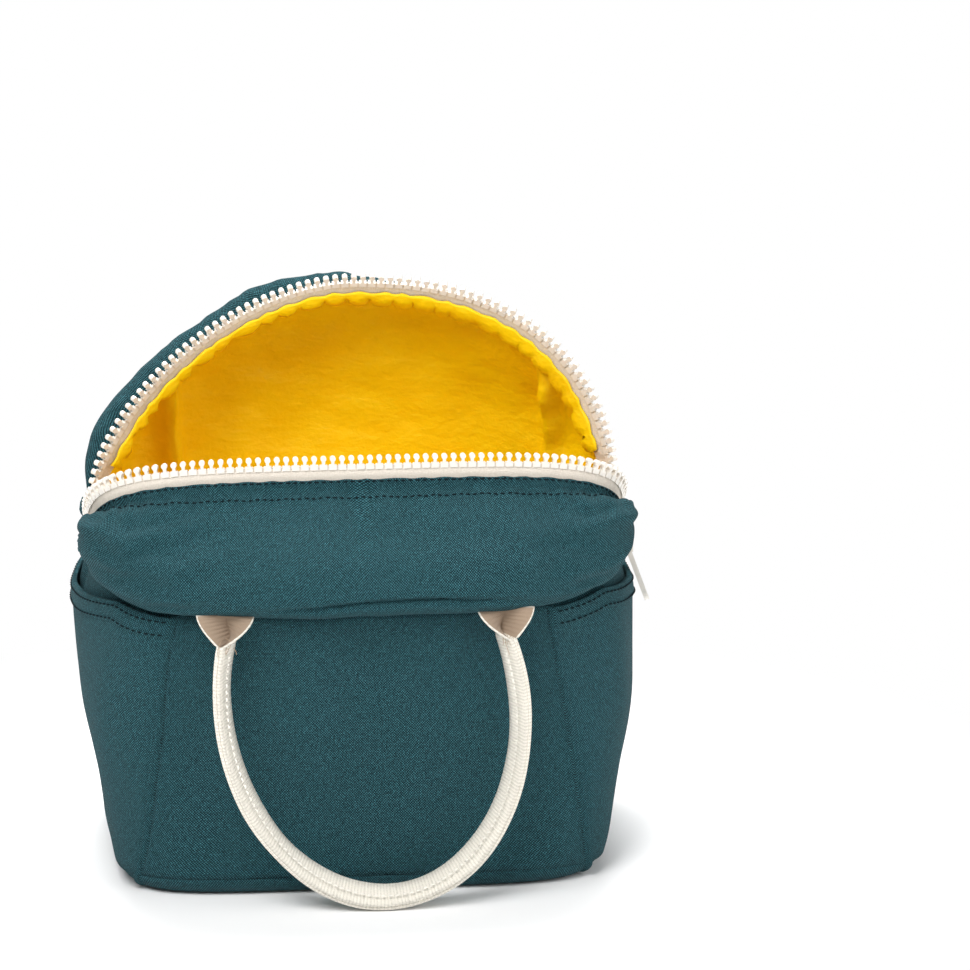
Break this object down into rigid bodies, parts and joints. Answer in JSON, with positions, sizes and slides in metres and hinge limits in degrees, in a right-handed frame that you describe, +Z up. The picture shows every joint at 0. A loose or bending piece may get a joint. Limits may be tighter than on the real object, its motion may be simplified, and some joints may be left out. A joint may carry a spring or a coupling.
{
  "type": "lunch bag",
  "caption": "soft insulated canvas lunch bag with a wide zipped mouth, two webbing carry handles, side slip pockets and an inner bottle pocket, standing open",
  "frame": {"origin": "centre of the base's underside, at the resting face", "axes": "+X to the bag's right as the front is faced, -Y out of the front, +Z up"},
  "size_m": [0.2561, 0.1872, 0.2531],
  "materials": {
    "canvas": "woven teal canvas",
    "lining": "yellow coated lining cloth",
    "zip_tape": "cream woven tape",
    "zip_teeth": "white moulded plastic",
    "webbing": "cream cotton webbing",
    "slider": "cream painted metal",
    "elastic": "white braided elastic"
  },
  "bodies": {
    "bag": {"base_panel": "canvas", "front_panel": "canvas", "back_panel": "canvas", "left_side_panel": "canvas", "right_side_panel": "canvas", "left_side_pocket": "canvas", "right_side_pocket": "canvas", "left_pocket_hem": "canvas", "right_pocket_hem": "canvas", "lining_base": "lining", "lining_front": "lining", "lining_back": "lining", "lining_left": "lining", "lining_right": "lining", "bottle_pocket": "lining", "bottle_pocket_hem": "lining", "pocket_elastic": "elastic", "front_yoke": "canvas", "back_yoke": "canvas", "front_yoke_lining": "lining", "back_yoke_lining": "lining", "joined_zip_tape": "zip_tape", "joined_zip_teeth": "zip_teeth", "bottom_stop": "zip_teeth"},
    "front_top": {"front_zip_tape": "zip_tape", "front_zip_teeth": "zip_teeth"},
    "back_top": {"back_zip_tape": "zip_tape", "back_zip_teeth": "zip_teeth"},
    "slider": {"zip_slider": "slider"},
    "pull": {"pull_tab": "slider"},
    "front_handle": {"front_handle": "webbing"},
    "back_handle": {"back_handle": "webbing"}
  },
  "joints": [
    {"name": "front_mouth", "type": "hinge", "parent": "bag", "child": "front_top", "pos_m": [0, 0, 0.146], "axis": [1, 0, 0], "range_deg": [-30, 10], "deforming": ["front_yoke", "front_yoke_lining"]},
    {"name": "back_mouth", "type": "hinge", "parent": "bag", "child": "back_top", "pos_m": [0, 0, 0.146], "axis": [1, 0, 0], "range_deg": [-20, 8], "deforming": ["back_yoke", "back_yoke_lining"]},
    {"name": "slider_slide", "type": "slide", "parent": "bag", "child": "slider", "axis": [0, 0, 1], "range_m": [0, 0.004]},
    {"name": "pull_swing", "type": "hinge", "parent": "slider", "child": "pull", "pos_m": [0.12195, 0, 0.1334], "axis": [0, -1, 0], "range_deg": [0, 100]},
    {"name": "front_handle_swing", "type": "hinge", "parent": "bag", "child": "front_handle", "pos_m": [0, -0.0861, 0.127], "axis": [-1, 0, 0], "range_deg": [0, 150]},
    {"name": "back_handle_swing", "type": "hinge", "parent": "bag", "child": "back_handle", "pos_m": [0, 0.0791, 0.127], "axis": [1, 0, 0], "range_deg": [0, 150]}
  ]
}
